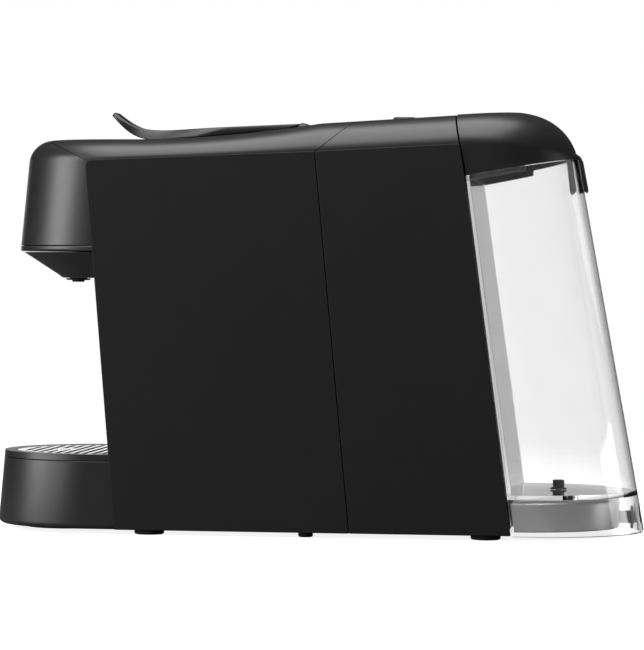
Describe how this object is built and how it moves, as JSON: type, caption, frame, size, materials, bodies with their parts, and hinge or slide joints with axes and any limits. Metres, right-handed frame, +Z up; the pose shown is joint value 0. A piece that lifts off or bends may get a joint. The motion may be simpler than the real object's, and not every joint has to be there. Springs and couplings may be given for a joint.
{
  "type": "pod coffee machine",
  "caption": "Compact capsule coffee machine with a top lever, round brewing head, round drip tray with slotted grid, and a clear rear water tank under a domed lid.",
  "frame": {"origin": "on the surface it stands on, midway along its length and width", "axes": "+Z up, +Y from the drip tray to the water tank, +X to the side the picture shows"},
  "size_m": [0.12, 0.3604, 0.2318],
  "materials": {
    "side_panel": "matt black",
    "housing": "satin black",
    "inner_plastic": "matt dark",
    "grey_plastic": "satin grey",
    "steel": "brushed",
    "cast_metal": "as cast",
    "clear_plastic": "clear, polished",
    "rubber": "matt",
    "circuit_board": "solder mask",
    "hose": "silicone"
  },
  "bodies": {
    "housing": {"side_panel_front_right": "side_panel", "side_panel_front_left": "side_panel", "side_panel_rear_right": "side_panel", "side_panel_rear_left": "side_panel", "head_shell": "housing", "head_trim_ring": "housing", "outlet_shroud": "inner_plastic", "coffee_spout": "inner_plastic", "top_cover_front": "housing", "top_cover_rear": "housing", "base_plate": "inner_plastic", "front_wall": "inner_plastic", "rear_wall": "inner_plastic", "foot_front_right": "rubber", "foot_front_left": "rubber", "foot_rear_right": "rubber", "foot_rear_left": "rubber", "foot_middle_right": "rubber", "foot_middle_left": "rubber", "brew_frame": "steel", "injection_head": "inner_plastic", "coffee_channel": "inner_plastic", "plinth": "grey_plastic", "cord_gland": "grey_plastic", "tank_socket": "grey_plastic", "button_board": "circuit_board", "control_board": "circuit_board", "pump": "cast_metal", "pump_mount_front": "rubber", "pump_mount_rear": "rubber", "heater_block": "cast_metal", "flow_meter": "grey_plastic", "supply_hose": "hose", "pump_hose": "hose", "heater_hose": "hose", "brew_hose": "hose"},
    "lever": {"lever": "housing", "lever_shaft": "steel"},
    "links": {"toggle_link_right": "steel", "toggle_link_left": "steel"},
    "carriage": {"capsule_carriage": "inner_plastic"},
    "drawer": {"capsule_bin": "inner_plastic"},
    "tray": {"drip_tray": "housing", "tray_foot": "rubber"},
    "grid": {"grid_frame": "housing", "drip_grid": "steel"},
    "tank": {"water_tank": "clear_plastic", "tank_valve_seat": "grey_plastic"},
    "valve": {"tank_valve_plunger": "grey_plastic"},
    "lid": {"tank_lid": "housing"},
    "button_right": {"push_button_right": "housing"},
    "button_left": {"push_button_left": "housing"}
  },
  "joints": [
    {"name": "lever_lift", "type": "hinge", "parent": "housing", "child": "lever", "pos_m": [0, -0.0062, 0.2219], "axis": [-1, 0, 0], "range_deg": [0, 85]},
    {"name": "link_swing", "type": "hinge", "parent": "lever", "child": "links", "pos_m": [0, 0.00208, 0.19099], "axis": [-1, 0, 0], "range_deg": [-109, 0]},
    {"name": "carriage_slide", "type": "slide", "parent": "housing", "child": "carriage", "axis": [0, -1, 0], "range_m": [0, 0.0308]},
    {"name": "drawer_slide", "type": "slide", "parent": "housing", "child": "drawer", "axis": [0, -1, 0], "range_m": [0, 0.15]},
    {"name": "tray_slide", "type": "slide", "parent": "drawer", "child": "tray", "axis": [0, -1, 0], "range_m": [0, 0.06]},
    {"name": "grid_lift", "type": "slide", "parent": "tray", "child": "grid", "axis": [0, -0.1191, 0.9929], "range_m": [0, 0.05]},
    {"name": "tank_lift", "type": "slide", "parent": "housing", "child": "tank", "axis": [0, 0, 1], "range_m": [0, 0.12]},
    {"name": "lid_lift", "type": "slide", "parent": "tank", "child": "lid", "axis": [0, -0.158, 0.9874], "range_m": [0, 0.06]},
    {"name": "valve_travel", "type": "slide", "parent": "tank", "child": "valve", "axis": [0, 0, 1], "range_m": [0, 0.0025], "stiffness_N_per_m": 200, "springref_m": -0.001},
    {"name": "button_press_right", "type": "slide", "parent": "housing", "child": "button_right", "axis": [0, 0, -1], "range_m": [0, 0.0012], "stiffness_N_per_m": 600, "springref_m": -0.0005},
    {"name": "button_press_left", "type": "slide", "parent": "housing", "child": "button_left", "axis": [0, 0, -1], "range_m": [0, 0.0012], "stiffness_N_per_m": 600, "springref_m": -0.0005}
  ],
  "couplings": [
    {"joint": "link_swing", "follows": "lever_lift", "ratio": -1.2651},
    {"joint": "carriage_slide", "follows": "lever_lift", "m_per_rad": 0.020488}
  ]
}
